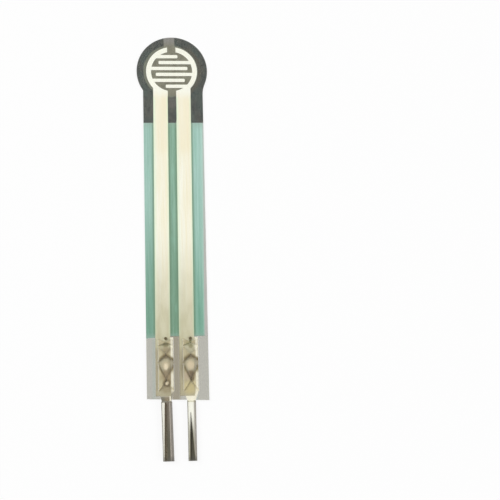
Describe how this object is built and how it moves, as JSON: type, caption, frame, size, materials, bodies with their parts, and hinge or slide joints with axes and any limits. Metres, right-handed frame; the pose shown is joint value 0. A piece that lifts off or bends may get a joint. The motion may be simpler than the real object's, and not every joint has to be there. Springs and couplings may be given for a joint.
{
  "type": "force sensing resistor",
  "caption": "Thin laminated force sensing resistor: round sensing head on a narrow film tail with two crimped solder pins.",
  "frame": {"origin": "centre of the sensing disc on the face of the rear adhesive", "axes": "+Y from the sensing disc towards the head's far edge, so the solder pins point to -Y; +Z out of the pressed face of the front film"},
  "size_m": [0.0075, 0.045, 0.001],
  "materials": {
    "front_film": "clear polyester film",
    "silver_print": "satin printed silver, slightly warm",
    "green_print": "thin translucent green print",
    "carbon_print": "matt dark grey carbon ink",
    "adhesive": "clear adhesive",
    "rear_film": "clear polyester film",
    "tinned_contact": "bright tin plate with warm tarnish"
  },
  "bodies": {
    "root": {"front_film": "front_film", "left_electrode": "silver_print", "right_electrode": "silver_print", "green_insulation": "green_print", "carbon_layer": "carbon_print", "spacer_adhesive": "adhesive", "rear_film": "rear_film", "rear_adhesive": "adhesive", "left_contact": "tinned_contact", "right_contact": "tinned_contact"}
  },
  "joints": []
}
